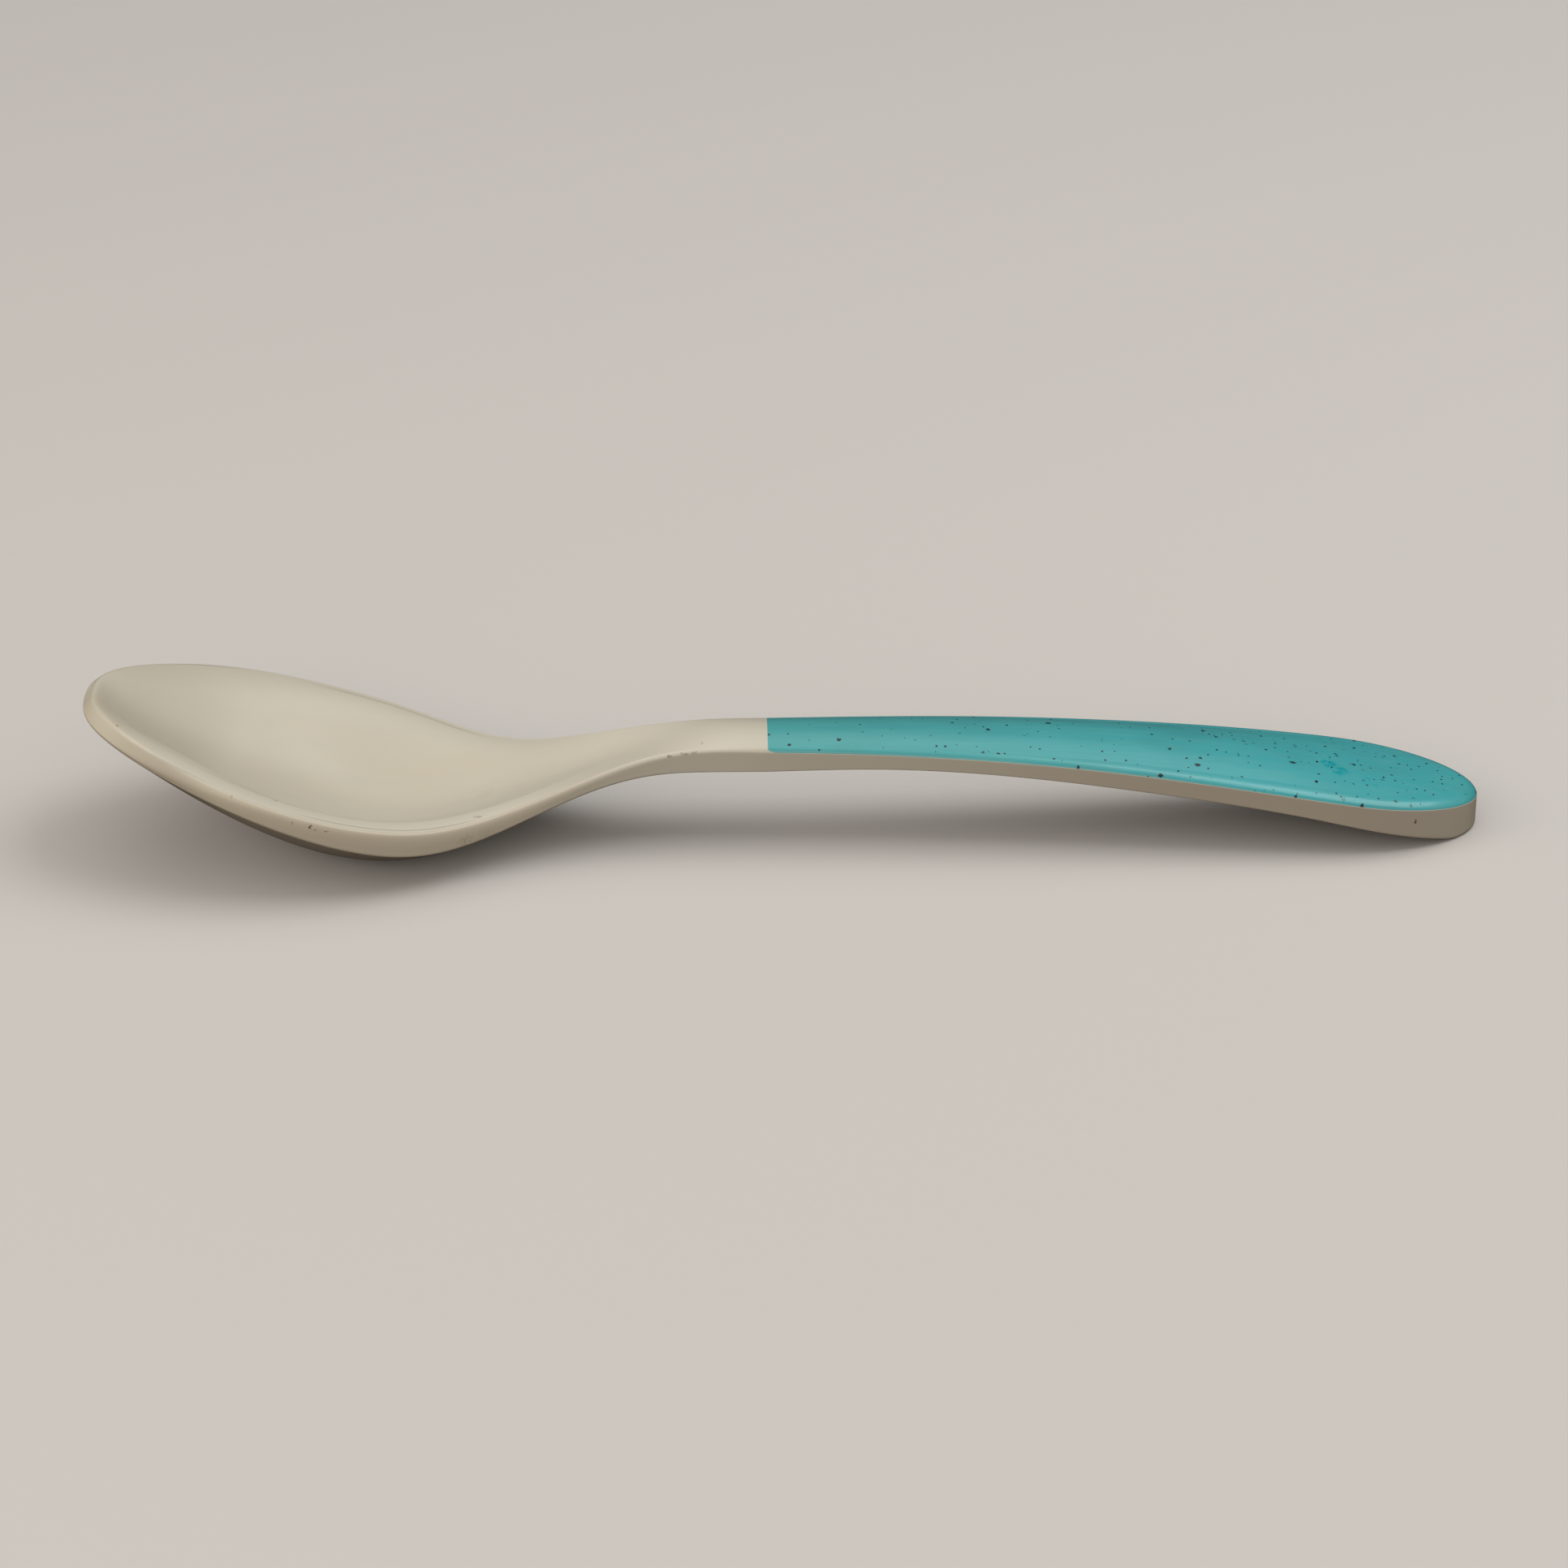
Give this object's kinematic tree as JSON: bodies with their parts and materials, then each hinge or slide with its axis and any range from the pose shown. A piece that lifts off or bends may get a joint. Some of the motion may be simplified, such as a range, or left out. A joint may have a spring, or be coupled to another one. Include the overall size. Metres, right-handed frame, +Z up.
{
  "type": "tablespoon",
  "caption": "Moulded tablespoon with an egg-shaped bowl, a narrow neck and an arched handle that carries a bonded coloured layer; rests level on its belly and handle end.",
  "frame": {"origin": "on the table under the middle of the spoon's bounding box, as the spoon lies at rest", "axes": "+X from the bowl to the handle's end, +Z up off the table, +Y to the left seen from the bowl"},
  "size_m": [0.2, 0.0452, 0.023],
  "materials": {
    "cream_melamine": "glossy moulded melamine, lightly worn",
    "turquoise_melamine": "glossy moulded melamine with small dark specks"
  },
  "bodies": {
    "root": {"spoon_body": "cream_melamine", "handle_overlay": "turquoise_melamine"}
  },
  "joints": []
}
